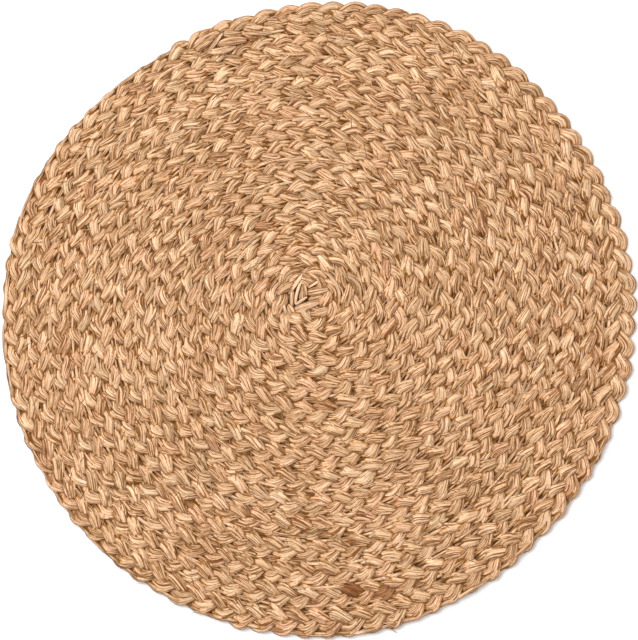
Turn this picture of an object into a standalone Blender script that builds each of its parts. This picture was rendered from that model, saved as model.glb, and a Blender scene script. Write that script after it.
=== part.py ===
"""Round seagrass placemat: one long flat plait, coiled edge to edge and sewn into a disc.

The plait winds outward anticlockwise, seen from above. Its rows are raised as ridges on both
faces, its start is a small knot a little off the middle, and its end narrows and is tucked
against the row inside it. All sizes are in metres and angles in degrees; Z is up.
"""

import math
from collections import namedtuple

import bmesh
import bpy
from mathutils import Vector

# Driving sizes
THICKNESS = 0.0056
GROOVE_DEPTH = 0.0013
SHOULDER_DROP = 0.0004
ROWS = 13
STEPS_PER_TURN = 48

# The coil: the bearing of its end, and how many row widths its first edge is from its start
END_BEARING = 113.0
FIRST_EDGE = 0.86

# The last turn, in shares of a turn from the bearing of the end: how soon the rim is free of the
# tail, and where the tail begins to thin. The tail's tip keeps a least width.
RIM_FREE = 0.03
TAIL_START = 0.75
TAIL_TIP = 0.0022

# The knot at the start of the coil: a ring of lumps, sized against the space that it fills, with
# a dip in its middle
KNOT_LUMPS = 3
KNOT_RING = 0.5
KNOT_RISE = 0.0002
KNOT_DIP = 0.0009
LUMP_DEPTH = 0.4

GRASS_COLOUR = (0.72, 0.50, 0.28, 1.0)
GRASS_ROUGHNESS = 0.62
MERGE_DISTANCE = 0.00001

# How the hand-wound coil lies in each direction from its start: the mean width of a row there,
# and how far away the rim is.
Direction = namedtuple("Direction", "bearing row_width reach")
DIRECTIONS = (
    Direction(0, 0.01319, 0.1963),
    Direction(20, 0.01296, 0.1920),
    Direction(40, 0.01275, 0.1884),
    Direction(60, 0.01258, 0.1861),
    Direction(80, 0.01254, 0.1816),
    Direction(100, 0.01248, 0.1756),
    Direction(120, 0.01244, 0.1729),
    Direction(140, 0.01247, 0.1753),
    Direction(160, 0.01264, 0.1807),
    Direction(180, 0.01289, 0.1841),
    Direction(200, 0.01322, 0.1885),
    Direction(220, 0.01353, 0.1933),
    Direction(240, 0.01370, 0.1974),
    Direction(260, 0.01383, 0.2010),
    Direction(280, 0.01387, 0.2039),
    Direction(300, 0.01376, 0.2018),
    Direction(320, 0.01357, 0.2001),
    Direction(340, 0.01337, 0.1993),
)

# Section of one row: the place across it, from its inner edge to its outer one, and the height
Station = namedtuple("Station", "across height")
ROW_TOP = (
    Station(0.00, THICKNESS - GROOVE_DEPTH),
    Station(0.25, THICKNESS - SHOULDER_DROP),
    Station(0.50, THICKNESS),
    Station(0.75, THICKNESS - SHOULDER_DROP),
)
ROW_UNDERSIDE = (
    Station(0.00, GROOVE_DEPTH),
    Station(0.25, 0.0),
    Station(0.75, 0.0),
)

# Slow waves that leave the upper face uneven, each with its size, its radians per metre along X
# and Y, and its shift in radians
Wave = namedtuple("Wave", "size along_x along_y shift")
WAVES = (
    Wave(0.00010, 61.0, 47.0, 0.7),
    Wave(0.00010, 61.0, -47.0, 1.9),
    Wave(0.00010, 140.0, -95.0, 0.0),
)


def clear_scene():
    for obj in list(bpy.data.objects):
        bpy.data.objects.remove(obj, do_unlink=True)


def grass_material():
    material = bpy.data.materials.new("dried_seagrass")
    material.use_nodes = True
    shader = material.node_tree.nodes["Principled BSDF"]
    shader.inputs["Base Color"].default_value = GRASS_COLOUR
    shader.inputs["Roughness"].default_value = GRASS_ROUGHNESS
    shader.inputs["Metallic"].default_value = 0.0
    return material


def smooth_step(x):
    """Rises from 0 to 1 with level ends, and stays there."""
    x = min(max(x, 0.0), 1.0)
    return x * x * (3.0 - 2.0 * x)


def read_direction(bearing, column):
    """A column of DIRECTIONS at any bearing, on a smooth curve through its rows."""
    spacing = 360.0 / len(DIRECTIONS)
    place = (bearing % 360.0) / spacing
    row = int(place)
    part = place - row
    before, here, after, beyond = (
        getattr(DIRECTIONS[(row + step) % len(DIRECTIONS)], column) for step in (-1, 0, 1, 2)
    )
    slope_here = (after - before) / 2.0
    slope_after = (beyond - here) / 2.0
    rise = after - here
    return (
        here
        + slope_here * part
        + (3.0 * rise - 2.0 * slope_here - slope_after) * part**2
        + (slope_here + slope_after - 2.0 * rise) * part**3
    )


def row_profile():
    """The mat cut along one direction, as (place in row widths, height): top, rim, underside."""
    top = [(row + at.across, at.height) for row in range(ROWS) for at in ROW_TOP]
    under = [(row + at.across, at.height) for row in range(ROWS) for at in ROW_UNDERSIDE]
    rim = [(ROWS, ROW_TOP[0].height), (ROWS, ROW_UNDERSIDE[0].height)]
    return top + rim + under[::-1]


def spin_profile(bm):
    """Turns the profile once round Z, and gives each point's share of the turn."""
    points = [bm.verts.new((FIRST_EDGE + place, 0.0, height)) for place, height in row_profile()]
    edges = [bm.edges.new(pair) for pair in zip(points, points[1:])]
    turned = bmesh.ops.spin(
        bm,
        geom=points + edges,
        cent=(0.0, 0.0, 0.0),
        axis=(0.0, 0.0, 1.0),
        angle=2.0 * math.pi,
        steps=STEPS_PER_TURN,
    )
    share = {v: (math.atan2(v.co.y, v.co.x) / (2.0 * math.pi)) % 1.0 for v in bm.verts}
    for v in points:
        share[v] = 0.0
    for v in turned["geom_last"]:
        if isinstance(v, bmesh.types.BMVert):
            share[v] = 1.0
    return share


def outer_row_edges(turn):
    """Distances of the last row's two edges, at a share of the turn."""
    bearing = END_BEARING + 360.0 * turn
    width = read_direction(bearing, "row_width")
    inner = width * (FIRST_EDGE + ROWS - 1 + turn)
    rim = max(read_direction(bearing, "reach"), inner + TAIL_TIP)
    beside_tail = inner + width
    return inner, beside_tail + (rim - beside_tail) * smooth_step(turn / RIM_FREE)


def unwind(share):
    """Moves the rings of the turned disc outward into one coil, with the photo's uneven rim."""
    for v, turn in share.items():
        bearing = END_BEARING + 360.0 * turn
        place = math.hypot(v.co.x, v.co.y) - FIRST_EDGE
        distance = read_direction(bearing, "row_width") * (FIRST_EDGE + place + turn)
        across = place - (ROWS - 1)
        height = v.co.z
        if across > 0.0:
            inner, rim = outer_row_edges(turn)
            distance = inner + (rim - inner) * min(across, 1.0)
            fullness = min((rim - inner) / read_direction(bearing, "row_width"), 1.0)
            thinning = smooth_step((turn - TAIL_START) / (1.0 - TAIL_START)) * (1.0 - fullness)
            height += (THICKNESS / 2.0 - height) * thinning
        angle = math.radians(bearing)
        v.co = (distance * math.cos(angle), distance * math.sin(angle), height)


def raise_knot(bm, face, crest, dip):
    """Gives the space inside the first turn a lumpy ring with a dip in its middle."""
    inner = bmesh.ops.extrude_discrete_faces(bm, faces=[face])["faces"][0]
    middle = sum((v.co for v in inner.verts), Vector()) / len(inner.verts)
    for v in inner.verts:
        out = v.co - middle
        lump = 0.5 + 0.5 * math.cos(KNOT_LUMPS * math.atan2(out.y, out.x))
        v.co = middle + out * KNOT_RING
        v.co.z = crest + (dip - crest) * LUMP_DEPTH * lump
    centre = bmesh.ops.poke(bm, faces=[inner])["verts"][0]
    centre.co.z = dip


def close_openings(bm):
    """Caps the plait's end, and fills the start of the coil on both faces."""
    loose = [edge for edge in bm.edges if edge.is_boundary]
    caps = bmesh.ops.holes_fill(bm, edges=loose, sides=0)["faces"]
    _, *middles = sorted(caps, key=lambda face: -face.calc_center_median().xy.length)
    lower, upper = sorted(middles, key=lambda face: face.calc_center_median().z)
    raise_knot(bm, upper, THICKNESS + KNOT_RISE, THICKNESS - KNOT_DIP)
    raise_knot(bm, lower, 0.0, 0.0)


def roughen_top(bm):
    """Lets the upper face rise and fall a little over the mat, as hand sewing leaves it."""
    for v in bm.verts:
        rise = sum(w.size * math.sin(w.along_x * v.co.x + w.along_y * v.co.y + w.shift) for w in WAVES)
        v.co.z += rise * smooth_step(v.co.z / THICKNESS)


def centre_on_outline(bm):
    """Puts the middle of the mat's outline over the origin and its underside at height 0."""
    xs = [v.co.x for v in bm.verts]
    ys = [v.co.y for v in bm.verts]
    lowest = min(v.co.z for v in bm.verts)
    middle = ((min(xs) + max(xs)) / 2.0, (min(ys) + max(ys)) / 2.0, lowest)
    bmesh.ops.translate(bm, vec=[-c for c in middle], verts=bm.verts)


def coiled_plait(collection):
    bm = bmesh.new()
    share = spin_profile(bm)
    unwind(share)
    bmesh.ops.remove_doubles(bm, verts=bm.verts, dist=MERGE_DISTANCE)
    close_openings(bm)
    roughen_top(bm)
    centre_on_outline(bm)
    bmesh.ops.recalc_face_normals(bm, faces=bm.faces)
    mesh = bpy.data.meshes.new("coiled_plait")
    bm.to_mesh(mesh)
    bm.free()
    mesh.materials.append(grass_material())
    mesh.shade_smooth()
    mesh.set_sharp_from_angle(angle=math.radians(50.0))
    plait = bpy.data.objects.new("coiled_plait", mesh)
    collection.objects.link(plait)
    return plait


def main():
    clear_scene()
    collection = bpy.data.collections.new("seagrass_placemat")
    bpy.context.scene.collection.children.link(collection)
    coiled_plait(collection)


main()
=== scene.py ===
"""Looks of a round seagrass placemat: one three-strand plait, coiled into a disc and sewn.

Lengths are in metres and bearings in degrees, anticlockwise from +X as seen from above.
"""

import logging
import math
from dataclasses import dataclass, replace
from enum import Enum

import bpy
import numpy as np
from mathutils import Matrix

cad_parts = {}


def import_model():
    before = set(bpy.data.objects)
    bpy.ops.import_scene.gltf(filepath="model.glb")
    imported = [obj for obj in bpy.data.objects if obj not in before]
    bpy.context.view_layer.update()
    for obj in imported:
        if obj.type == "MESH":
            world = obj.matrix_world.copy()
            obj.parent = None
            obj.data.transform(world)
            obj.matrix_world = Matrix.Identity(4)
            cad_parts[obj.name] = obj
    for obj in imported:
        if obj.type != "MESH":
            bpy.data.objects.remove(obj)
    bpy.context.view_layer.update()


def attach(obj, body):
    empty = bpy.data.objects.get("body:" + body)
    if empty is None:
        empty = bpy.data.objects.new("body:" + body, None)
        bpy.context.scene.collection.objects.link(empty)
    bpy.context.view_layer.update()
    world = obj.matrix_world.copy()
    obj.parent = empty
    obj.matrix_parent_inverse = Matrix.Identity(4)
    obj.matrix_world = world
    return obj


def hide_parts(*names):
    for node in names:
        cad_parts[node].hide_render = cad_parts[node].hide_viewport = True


LOG = logging.getLogger("placemat")
TURN = 2.0 * math.pi
MILLIMETRES = 1000.0
HALF_ROW = 0.0066
MAT_DEPTH = 0.006
ROUTE_STEPS = 20000
BODY = "root"
NODE = "coiled_plait"

Socket = bpy.types.NodeSocket
Colour = tuple[float, float, float]
Ramp = tuple[tuple[float, Colour], ...]


class Graph:
    """A node tree under construction, with short ways to add maths."""

    def __init__(self, tree: bpy.types.NodeTree) -> None:
        """Keeps the tree.

        Args:
            tree: The geometry or shader tree that the nodes go into.
        """
        self.tree = tree

    def add(self, kind: str, inputs: dict | None = None, **settings: object) -> bpy.types.Node:
        """Adds a node.

        Args:
            kind: The node's type name.
            inputs: Socket name or place to a value or to another node's output.
            settings: The node's own properties.

        Returns:
            The new node.
        """
        node = self.tree.nodes.new(kind)
        for name, value in settings.items():
            setattr(node, name, value)
        for key, value in (inputs or {}).items():
            self.feed(node.inputs[key], value)
        return node

    def feed(self, socket: Socket, value: object) -> None:
        """Links an output to the socket, or writes a plain value on it.

        Args:
            socket: The input to fill.
            value: An output socket, a number, a vector or a datablock.
        """
        if isinstance(value, Socket):
            self.tree.links.new(value, socket)
        else:
            socket.default_value = value

    def math(self, operation: str, *values: object) -> Socket:
        """Adds a Math node of the tree's kind.

        Args:
            operation: The operation's name.
            values: One to three numbers or outputs.

        Returns:
            The result's output.
        """
        return self.add("ShaderNodeMath", dict(enumerate(values)), operation=operation).outputs[0]

    def vector_math(self, operation: str, *values: object) -> Socket:
        """Adds a Vector Math node.

        Args:
            operation: The operation's name; SCALE takes its factor last.
            values: Vectors or outputs.

        Returns:
            The result's output.
        """
        if operation == "SCALE":
            fed = {0: values[0], "Scale": values[1]}
        else:
            fed = dict(enumerate(values))
        node = self.add("ShaderNodeVectorMath", fed, operation=operation)
        return node.outputs["Value" if operation in ("DOT_PRODUCT", "LENGTH") else "Vector"]

    def combine(self, x: object, y: object, z: object) -> Socket:
        """Joins three numbers into a vector and returns its output."""
        return self.add("ShaderNodeCombineXYZ", {0: x, 1: y, 2: z}).outputs[0]

    def noise(self, place: object, scale: float, detail: float = 2.0, **inputs: float) -> Socket:
        """Adds a 3-D Noise Texture.

        Args:
            place: Where to read it.
            scale: Its scale.
            detail: Its number of octaves.
            inputs: Further socket values by name.

        Returns:
            The factor's output.
        """
        fed = {"Vector": place, "Scale": scale, "Detail": detail, **inputs}
        return self.add("ShaderNodeTexNoise", fed).outputs[0]

    def ramp(self, factor: object, stops: Ramp) -> Socket:
        """Adds a Color Ramp.

        Args:
            factor: The output that drives it.
            stops: Places from 0 to 1 with their colours.

        Returns:
            The colour's output.
        """
        node = self.add("ShaderNodeValToRGB", {0: factor})
        elements = node.color_ramp.elements
        while len(elements) < len(stops):
            elements.new(0.5)
        for element, (place, colour) in zip(elements, stops):
            element.position = place
            element.color = (*colour, 1.0)
        return node.outputs[0]

    def mix(self, mode: str, factor: object, first: object, second: object) -> Socket:
        """Mixes two colours.

        Args:
            mode: The blend type.
            factor: How much of the second.
            first: The colour below.
            second: The colour above.

        Returns:
            The colour's output.
        """
        fed = {0: factor, 6: first, 7: second}
        return self.add("ShaderNodeMix", fed, data_type="RGBA", blend_type=mode).outputs[2]


class SurfaceGraph(Graph):
    """A material's shader tree, around its Principled BSDF."""

    def __init__(self, name: str) -> None:
        """Starts the material.

        Args:
            name: The material's name.
        """
        self.material = bpy.data.materials.new(name)
        self.material.use_nodes = True
        super().__init__(self.material.node_tree)
        self.shader = self.tree.nodes["Principled BSDF"]

    def attribute(self, name: str, output: str = "Fac") -> Socket:
        """Reads a named attribute and returns its output."""
        return self.add("ShaderNodeAttribute", attribute_name=name).outputs[output]

    def place(self) -> Socket:
        """Reads the Object coordinates and returns their output."""
        return self.add("ShaderNodeTexCoord").outputs["Object"]

    def eased(self, value: object, start: float, end: float, low: float, high: float) -> Socket:
        """Maps a value from one span to another, held at both ends.

        Args:
            value: The value.
            start: Where the span starts.
            end: Where it ends.
            low: The result at the start.
            high: The result at the end.

        Returns:
            The result's output.
        """
        return self.add("ShaderNodeMapRange", {0: value, 1: start, 2: end, 3: low, 4: high}).outputs[0]

    def paint(self, colour: object, plain: dict[str, float]) -> None:
        """Puts the colour on the shader.

        Args:
            colour: The colour's output.
            plain: Values for the shader's other sockets, by name.
        """
        self.feed(self.shader.inputs["Base Color"], colour)
        for name, value in plain.items():
            self.shader.inputs[name].default_value = value

    def emboss(self, height: object, strength: float, depth: float) -> None:
        """Adds fine relief to the shader.

        Args:
            height: The height's output.
            strength: How strong it is.
            depth: How deep it is, in metres.
        """
        bump = self.add("ShaderNodeBump", {"Height": height, "Strength": strength, "Distance": depth})
        self.feed(self.shader.inputs["Normal"], bump.outputs[0])


class GeometryGraph(Graph):
    """A Geometry Nodes tree with named inputs, which ends in Realize Instances and Set Material."""

    def __init__(self, name: str, sizes: dict[str, float | int]) -> None:
        """Starts the tree.

        Args:
            name: The tree's name.
            sizes: Input names with their default values; a whole number makes an integer input
                and None an object input.
        """
        super().__init__(bpy.data.node_groups.new(name, "GeometryNodeTree"))
        face = self.tree.interface
        face.new_socket("Geometry", in_out="INPUT", socket_type="NodeSocketGeometry")
        for title, value in sizes.items():
            if value is None:
                face.new_socket(title, in_out="INPUT", socket_type="NodeSocketObject")
                continue
            kind = "NodeSocketInt" if isinstance(value, int) else "NodeSocketFloat"
            face.new_socket(title, in_out="INPUT", socket_type=kind).default_value = value
        face.new_socket("Finish", in_out="INPUT", socket_type="NodeSocketMaterial")
        face.new_socket("Geometry", in_out="OUTPUT", socket_type="NodeSocketGeometry")
        self.given = self.add("NodeGroupInput").outputs

    def attribute(self, name: str, kind: str = "FLOAT") -> Socket:
        """Reads a named attribute and returns its output."""
        return self.add("GeometryNodeInputNamedAttribute", {"Name": name}, data_type=kind).outputs[0]

    def store(self, geometry: object, name: str, value: object, kind: str = "FLOAT") -> Socket:
        """Stores a named attribute on the points.

        Args:
            geometry: The geometry to write on.
            name: The attribute's name.
            value: The value's output.
            kind: The attribute's data type.

        Returns:
            The geometry's output.
        """
        fed = {"Geometry": geometry, "Name": name, "Value": value}
        return self.add("GeometryNodeStoreNamedAttribute", fed, data_type=kind, domain="POINT").outputs[0]

    def random(self, number: object, seed: object) -> Socket:
        """Draws a number from 0 to 1 for each whole number and returns its output."""
        return self.add("FunctionNodeRandomValue", {"ID": number, "Seed": seed}, data_type="FLOAT").outputs[1]

    def swept(self, line: object, tilt: object, scale: object, breadth: object) -> Socket:
        """Sweeps an oval section along curves; "round" runs from 0 to 1 about it.

        Args:
            line: The curves.
            tilt: How far the section is turned.
            scale: The section's breadth and thickness.
            breadth: A further scale at each point.

        Returns:
            The geometry's output.
        """
        points = self.given["Section Points"]
        line = self.add("GeometryNodeSetCurveNormal", {0: line}, mode="Z_UP").outputs[0]
        line = self.add("GeometryNodeSetCurveTilt", {0: line, "Tilt": tilt}).outputs[0]
        ring = self.add("GeometryNodeCurvePrimitiveCircle", {"Resolution": points, "Radius": 0.5}).outputs[0]
        spot = self.add("GeometryNodeInputIndex").outputs[0]
        section = self.store(ring, "round", self.math("DIVIDE", spot, points))
        section = self.add("GeometryNodeTransform", {0: section, "Scale": scale}).outputs[0]
        sweep = self.add("GeometryNodeCurveToMesh", {0: line, 1: section, "Fill Caps": True})
        self.feed(sweep.inputs["Scale"], breadth)
        return sweep.outputs[0]

    def ray(self, target: object, start: object, aim: object, length: object) -> bpy.types.NodeOutputs:
        """Casts a ray at each point.

        Args:
            target: The geometry that it may hit.
            start: Where it starts.
            aim: Its direction.
            length: How far it looks.

        Returns:
            The Raycast node's outputs.
        """
        fed = {
            "Target Geometry": target,
            "Source Position": start,
            "Ray Direction": aim,
            "Ray Length": length,
        }
        return self.add("GeometryNodeRaycast", fed).outputs

    def end(self, geometry: object) -> None:
        """Closes the tree: instances made real, shaded smooth, with the finish."""
        real = self.add("GeometryNodeRealizeInstances", {0: geometry}).outputs[0]
        smooth = self.add("GeometryNodeSetShadeSmooth", {0: real}).outputs[0]
        dressed = self.add("GeometryNodeSetMaterial", {0: smooth, "Material": self.given["Finish"]})
        self.add("NodeGroupOutput", {0: dressed.outputs[0]})

    def run(
        self, guide: bpy.types.Mesh, name: str, finish: bpy.types.Material, **sizes: float
    ) -> bpy.types.Object:
        """Runs the tree on a guide and keeps the result as a plain mesh.

        Args:
            guide: The mesh that the tree starts from; it is removed.
            name: The new piece's name.
            finish: Its material.
            sizes: Input values, with underscores for spaces.

        Returns:
            The new piece, at the origin.
        """
        helper = bpy.data.objects.new(name + "_guide", guide)
        bpy.context.scene.collection.objects.link(helper)
        modifier = helper.modifiers.new("lay", "NODES")
        modifier.node_group = self.tree
        sockets = {
            item.name: item.identifier
            for item in self.tree.interface.items_tree
            if item.item_type == "SOCKET" and item.in_out == "INPUT"
        }
        for title, value in sizes.items():
            modifier[sockets[title.replace("_", " ")]] = value
        modifier[sockets["Finish"]] = finish
        graph = bpy.context.evaluated_depsgraph_get()
        mesh = bpy.data.meshes.new_from_object(
            helper.evaluated_get(graph), preserve_all_data_layers=True, depsgraph=graph
        )
        mesh.name = name
        bpy.data.objects.remove(helper)
        bpy.data.meshes.remove(guide)
        return placed(name, mesh)


def placed(name: str, mesh: bpy.types.Mesh) -> bpy.types.Object:
    """Makes an object of a mesh, at the origin, and links it."""
    piece = bpy.data.objects.new(name, mesh)
    bpy.context.scene.collection.objects.link(piece)
    return piece


def line_mesh(name: str, lines: np.ndarray, columns: dict[str, np.ndarray]) -> bpy.types.Mesh:
    """Makes lines of equal steps one mesh of edges.

    Args:
        name: The mesh's name.
        lines: Places, one row of points a line.
        columns: Attribute values, one for each point.

    Returns:
        The mesh.
    """
    count, steps = lines.shape[:2]
    number = np.arange(count * steps).reshape(count, steps)
    edges = np.stack([number[:, :-1].ravel(), number[:, 1:].ravel()], axis=1)
    mesh = bpy.data.meshes.new(name)
    mesh.from_pydata(lines.reshape(-1, 3), edges.tolist(), [])
    for title, values in columns.items():
        flat = np.asarray(values, np.float32).ravel()
        mesh.attributes.new(title, "FLOAT", "POINT").data.foreach_set("value", flat)
    return mesh


def smooth_step(x: np.ndarray | float) -> np.ndarray | float:
    """Rises from 0 to 1 with level ends, and stays there."""
    x = np.clip(x, 0.0, 1.0)
    return x * x * (3.0 - 2.0 * x)


@dataclass(frozen=True)
class Direction:
    """How the coil lies in one direction from its start: a row's mean width and the rim's distance."""

    bearing: float
    row_width: float
    reach: float


DIRECTIONS = (
    Direction(0, 0.01319, 0.1963),
    Direction(20, 0.01296, 0.1920),
    Direction(40, 0.01275, 0.1884),
    Direction(60, 0.01258, 0.1861),
    Direction(80, 0.01254, 0.1816),
    Direction(100, 0.01248, 0.1756),
    Direction(120, 0.01244, 0.1729),
    Direction(140, 0.01247, 0.1753),
    Direction(160, 0.01264, 0.1807),
    Direction(180, 0.01289, 0.1841),
    Direction(200, 0.01322, 0.1885),
    Direction(220, 0.01353, 0.1933),
    Direction(240, 0.01370, 0.1974),
    Direction(260, 0.01383, 0.2010),
    Direction(280, 0.01387, 0.2039),
    Direction(300, 0.01376, 0.2018),
    Direction(320, 0.01357, 0.2001),
    Direction(340, 0.01337, 0.1993),
)


@dataclass
class Coil:
    """The plan of the coil: where each turn of the plait lies.

    A place along the plait is counted in turns from the first full row, and a place across it
    goes from -1 at the row's inner edge to 1 at its outer edge.
    """

    end_bearing: float = 113.0
    first_edge: float = 0.86
    rows: int = 13
    rim_free: float = 0.03
    tail_tip: float = 0.0022
    start: tuple[float, float] = (-0.0066, 0.0114)
    middle_height: float = 0.0028

    def read(self, bearing: np.ndarray, column: str) -> np.ndarray:
        """Reads a column of DIRECTIONS on a smooth curve.

        Args:
            bearing: Bearings in degrees.
            column: The column's name.

        Returns:
            The values there.
        """
        values = np.array([getattr(row, column) for row in DIRECTIONS])
        count = len(values)
        place = (np.asarray(bearing) % 360.0) / (360.0 / count)
        row = np.floor(place).astype(int)
        part = place - row
        before, here, after, beyond = (values[(row + step) % count] for step in (-1, 0, 1, 2))
        slope_here = (after - before) / 2.0
        slope_after = (beyond - here) / 2.0
        rise = after - here
        return (
            here
            + slope_here * part
            + (3.0 * rise - 2.0 * slope_here - slope_after) * part**2
            + (slope_here + slope_after - 2.0 * rise) * part**3
        )

    def edges(self, turns: np.ndarray) -> tuple[np.ndarray, np.ndarray]:
        """Finds the two edges of the row.

        Args:
            turns: Places along the plait.

        Returns:
            The inner and the outer edge's distance from the coil's start.
        """
        bearing = self.end_bearing + 360.0 * turns
        width = self.read(bearing, "row_width")
        inner = width * (self.first_edge + turns)
        last = turns - (self.rows - 1)
        rim = np.maximum(self.read(bearing, "reach"), inner + self.tail_tip)
        outer = inner + width
        freed = outer + (rim - outer) * smooth_step(last / self.rim_free)
        return np.maximum(inner, 0.0), np.where(last > 0.0, freed, outer)

    def point(self, turns: np.ndarray, across: np.ndarray | float) -> tuple[np.ndarray, np.ndarray]:
        """Finds a place of the plait in plan.

        Args:
            turns: Places along the plait.
            across: Places across it, from -1 to 1.

        Returns:
            The x and y there.
        """
        inner, outer = self.edges(turns)
        distance = (inner + outer) / 2.0 + across * (outer - inner) / 2.0
        angle = np.radians(self.end_bearing + 360.0 * turns)
        return self.start[0] + distance * np.cos(angle), self.start[1] + distance * np.sin(angle)

    def lengths(self, first: float, last: float, across: float) -> tuple[np.ndarray, np.ndarray]:
        """Measures along the plait.

        Args:
            first: The turn to start from.
            last: The turn to end at.
            across: The place across the row to measure at.

        Returns:
            Closely spaced turns, and the length from the first of them to each.
        """
        fine = np.linspace(first, last, ROUTE_STEPS)
        x, y = self.point(fine, across)
        return fine, np.concatenate([[0.0], np.cumsum(np.hypot(np.diff(x), np.diff(y)))])


class Side(Enum):
    """The two lengths that each strand is made in, so that no piece grows too fine a mesh."""

    INNER = "inner_turns"
    OUTER = "outer_turns"


@dataclass(frozen=True)
class GrassFinish:
    """Dried seagrass: tan stems with painted highlights on the ridges, painted shade in the creases and
    strands of differing tone.
    """

    name: str = "plaited_seagrass"
    tints: Ramp = (
        (0.0, (0.435, 0.24, 0.117)),
        (0.3, (0.62, 0.37, 0.203)),
        (0.7, (0.735, 0.468, 0.28)),
        (1.0, (0.83, 0.57, 0.375)),
    )
    hues: Ramp = (
        (0.0, (0.56, 0.40, 0.24)),
        (0.2, (0.62, 0.40, 0.225)),
        (0.88, (0.66, 0.4, 0.225)),
        (1.0, (0.67, 0.365, 0.21)),
    )
    # Stripes of stem tone that also carry painted light: pale highlights on the ridge tops and dark brown
    # shade in the grooves.
    ridge_highlight_stripes: Ramp = (
        (0.36, (0.28, 0.18, 0.09)),
        (0.45, (0.94, 0.92, 0.9)),
        (0.55, (1.05, 1.06, 1.08)),
        (0.64, (1.28, 1.38, 1.58)),
    )
    # Fibre tone that also carries painted light: paler on the fibres' raised tops, darker in their troughs.
    fibres: Ramp = ((0.33, (0.55, 0.45, 0.33)), (0.45, (1.0, 1.0, 1.0)), (0.64, (1.25, 1.3, 1.4)))
    specks: Ramp = ((0.3, (0.5, 0.38, 0.26)), (0.4, (1.0, 1.0, 1.0)), (0.7, (1.15, 1.18, 1.24)))
    splits: Ramp = ((0.02, (0.33, 0.21, 0.1)), (0.055, (0.97, 0.95, 0.92)), (0.14, (1.14, 1.17, 1.22)))
    patches: Ramp = ((0.35, (0.88, 0.84, 0.76)), (0.6, (1.06, 1.03, 1.0)))
    stained: Colour = (0.38, 0.235, 0.125)
    # Painted shade colour for the blade edges and fold creases.
    crease_shade_colour: Colour = (0.15, 0.068, 0.022)
    # Painted shade colours: a brown multiply and a dark brown, mixed in where strands meet.
    shade_warmth: Colour = (0.80, 0.59, 0.29)
    shadow: Colour = (0.115, 0.042, 0.003)
    roughness: float = 0.52
    sheen: float = 0.08
    specular: float = 0.12
    ridge_height: float = 0.0003

    def material(self) -> bpy.types.Material:
        """Builds the shader.

        Returns:
            The material.
        """
        graph = SurfaceGraph(self.name)
        ridges = self.drawn_out(graph, 1.0, 0.22, 7.0, 3.0, Roughness=0.65)
        fibres = self.drawn_out(graph, 1.0, 0.15, 17.0, 2.0)
        colour = self.darkened(graph, self.striped(graph, ridges, fibres))
        plain = {
            "Roughness": self.roughness,
            "Sheen Weight": self.sheen,
            "Specular IOR Level": self.specular,
        }
        graph.paint(colour, plain)
        graph.emboss(graph.math("MULTIPLY_ADD", fibres, 0.5, ridges), 1.0, self.ridge_height)
        return graph.material

    def drawn_out(
        self, graph: SurfaceGraph, across: float, along: float, scale: float, detail: float, **inputs: float
    ) -> Socket:
        """Adds noise that follows the stems.

        Args:
            graph: The shader's graph.
            across: How fast it changes across a stem.
            along: How fast it changes along a stem.
            scale: Its scale.
            detail: Its number of octaves.
            inputs: Further socket values by name.

        Returns:
            The factor's output.
        """
        grain = graph.attribute("grain", "Vector")
        grain = graph.vector_math("MULTIPLY", grain, (across, across, along))
        return graph.noise(grain, scale, detail, **inputs)

    def striped(self, graph: SurfaceGraph, ridges: Socket, fibres: Socket) -> Socket:
        """Gives each lobe its tone, its stripes with painted highlights and painted shade, its splits and its
        specks.

        Args:
            graph: The shader's graph.
            ridges: The noise of the broad ridges.
            fibres: The noise of the fine fibres.

        Returns:
            The colour's output.
        """
        hue = graph.attribute("hue")
        base = graph.ramp(graph.attribute("tint"), self.tints)
        colour = graph.mix("MIX", 0.5, base, graph.ramp(hue, self.hues))
        bold = graph.eased(hue, 0.2, 1.0, 0.22, 0.85)
        # Partly painted light: the ridges noise also raises the bump, so its ridges are painted paler and its
        # grooves darker.
        colour = graph.mix("MULTIPLY", bold, colour, graph.ramp(ridges, self.ridge_highlight_stripes))
        # Partly painted light: the fibres noise also raises the bump, so its peaks are painted paler and its
        # troughs darker.
        colour = graph.mix("MULTIPLY", 0.8, colour, graph.ramp(fibres, self.fibres))
        specks = self.drawn_out(graph, 1.0, 1.6, 7.5, 2.0)
        colour = graph.mix("MULTIPLY", 0.75, colour, graph.ramp(specks, self.specks))
        split = graph.math("SUBTRACT", self.drawn_out(graph, 1.0, 0.12, 3.2, 1.0), 0.5)
        split = graph.math("ABSOLUTE", split)
        colour = graph.mix("MULTIPLY", 1.0, colour, graph.ramp(split, self.splits))
        patches = self.drawn_out(graph, 0.6, 1.0, 2.1, 2.0)
        return graph.mix("MULTIPLY", 0.8, colour, graph.ramp(patches, self.patches))

    def darkened(self, graph: SurfaceGraph, colour: Socket) -> Socket:
        """Darkens the stains, and paints shade on the blades' edges and on the places where strands meet.

        Args:
            graph: The shader's graph.
            colour: The clean colour.

        Returns:
            The colour's output.
        """
        crevice = graph.attribute("crevice")
        colour = graph.mix("MULTIPLY", graph.attribute("stain"), colour, (*self.stained, 1.0))
        # Painted shade: dark brown mixed into the blade edges and fold creases.
        edge = graph.math("MULTIPLY", graph.attribute("crease"), 0.8)
        colour = graph.mix("MIX", edge, colour, (*self.crease_shade_colour, 1.0))
        # Painted shade: the colour is browned, then darkened towards the shadow brown, as the painted crevice
        # shade rises.
        warm_shade = graph.eased(crevice, 0.06, 0.5, 0.0, 1.0)
        colour = graph.mix("MULTIPLY", warm_shade, colour, (*self.shade_warmth, 1.0))
        deep_shade = graph.eased(crevice, 0.30, 0.8, 0.0, 0.92)
        return graph.mix("MIX", deep_shade, colour, (*self.shadow, 1.0))


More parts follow.
